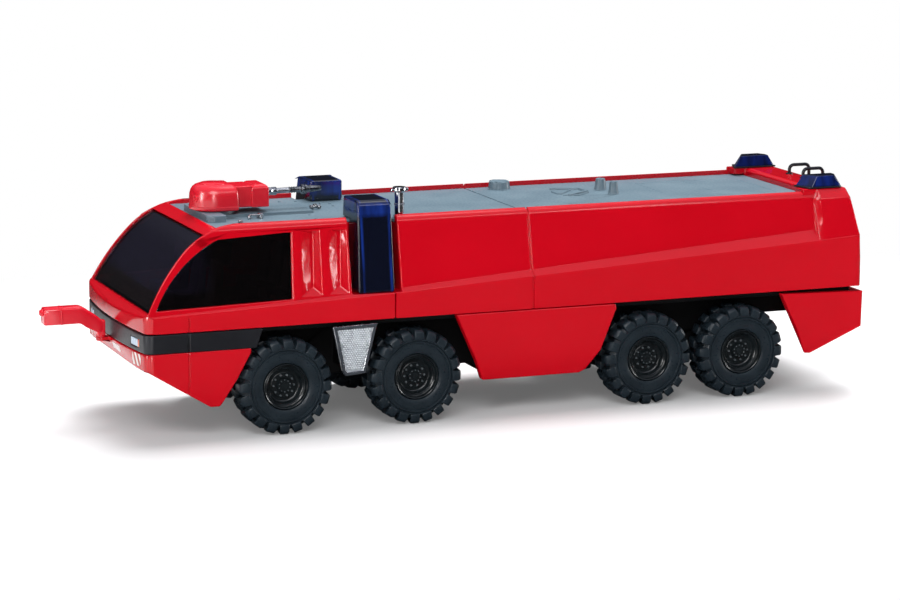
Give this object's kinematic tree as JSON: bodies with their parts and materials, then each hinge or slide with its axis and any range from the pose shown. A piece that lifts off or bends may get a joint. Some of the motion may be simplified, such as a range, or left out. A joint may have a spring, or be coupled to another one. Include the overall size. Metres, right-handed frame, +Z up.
{
  "type": "airport fire truck",
  "caption": "Scale model of an eight-wheeled airport fire truck with roof turret, bumper monitor, saddle beacons, dark wraparound glazing and free-rolling lugged wheels.",
  "frame": {"origin": "on the ground, at the middle of the overall length and width", "axes": "+X forward towards the bumper monitor, +Y to the left side, +Z up"},
  "size_m": [0.1388, 0.0344, 0.0386],
  "materials": {
    "red_paint": "glossy signal red moulding",
    "dark_glazing": "near-black glossy glazing",
    "black_plastic": "satin black moulding",
    "grey_deck": "satin blue-grey deck",
    "chrome": "bright plating",
    "blue_lens": "dark transparent blue",
    "clear_lens": "silver-backed clear lens",
    "red_lens": "dark red lens",
    "silver_tread": "silver printed tread",
    "tyre_rubber": "matt charcoal"
  },
  "bodies": {
    "vehicle": {"cab_shell": "red_paint", "windscreen": "dark_glazing", "side_windows": "dark_glazing", "cab_interior": "black_plastic", "cab_deck": "grey_deck", "tank_deck": "grey_deck", "roof_fittings": "chrome", "roof_post": "chrome", "saddle_beacon_left": "blue_lens", "saddle_beacon_right": "blue_lens", "corner_beacon_left": "blue_lens", "corner_beacon_right": "blue_lens", "tank_body": "red_paint", "rear_ladder": "black_plastic", "bumper_band": "black_plastic", "headlamps": "clear_lens", "front_skirt": "red_paint", "entry_step_left": "silver_tread", "entry_step_right": "silver_tread", "mid_skirt_left": "red_paint", "mid_skirt_right": "red_paint", "rear_skirt_left": "red_paint", "rear_skirt_right": "red_paint", "tail_lamps": "red_lens", "chassis": "black_plastic"},
    "roof_turret": {"turret_housing": "red_paint", "turret_barrel": "chrome"},
    "bumper_monitor": {"bumper_monitor": "red_paint"},
    "axle_1": {"wheelset_1": "black_plastic", "tyres_1": "tyre_rubber"},
    "axle_2": {"wheelset_2": "black_plastic", "tyres_2": "tyre_rubber"},
    "axle_3": {"wheelset_3": "black_plastic", "tyres_3": "tyre_rubber"},
    "axle_4": {"wheelset_4": "black_plastic", "tyres_4": "tyre_rubber"}
  },
  "joints": [
    {"name": "axle_1_spin", "type": "hinge", "parent": "vehicle", "child": "axle_1", "pos_m": [0.0338, 0, 0.0078], "axis": [0, 1, 0], "continuous": true},
    {"name": "axle_2_spin", "type": "hinge", "parent": "vehicle", "child": "axle_2", "pos_m": [0.0116, 0, 0.0078], "axis": [0, 1, 0], "continuous": true},
    {"name": "axle_3_spin", "type": "hinge", "parent": "vehicle", "child": "axle_3", "pos_m": [-0.0297, 0, 0.0078], "axis": [0, 1, 0], "continuous": true},
    {"name": "axle_4_spin", "type": "hinge", "parent": "vehicle", "child": "axle_4", "pos_m": [-0.0469, 0, 0.0078], "axis": [0, 1, 0], "continuous": true},
    {"name": "roof_turret_turn", "type": "hinge", "parent": "vehicle", "child": "roof_turret", "pos_m": [0.0404, 0, 0.03425], "axis": [0, 0, 1], "continuous": true},
    {"name": "bumper_monitor_swing", "type": "hinge", "parent": "vehicle", "child": "bumper_monitor", "pos_m": [0.05945, 0, 0.01465], "axis": [0, 0, 1], "range_deg": [-75, 75]}
  ]
}
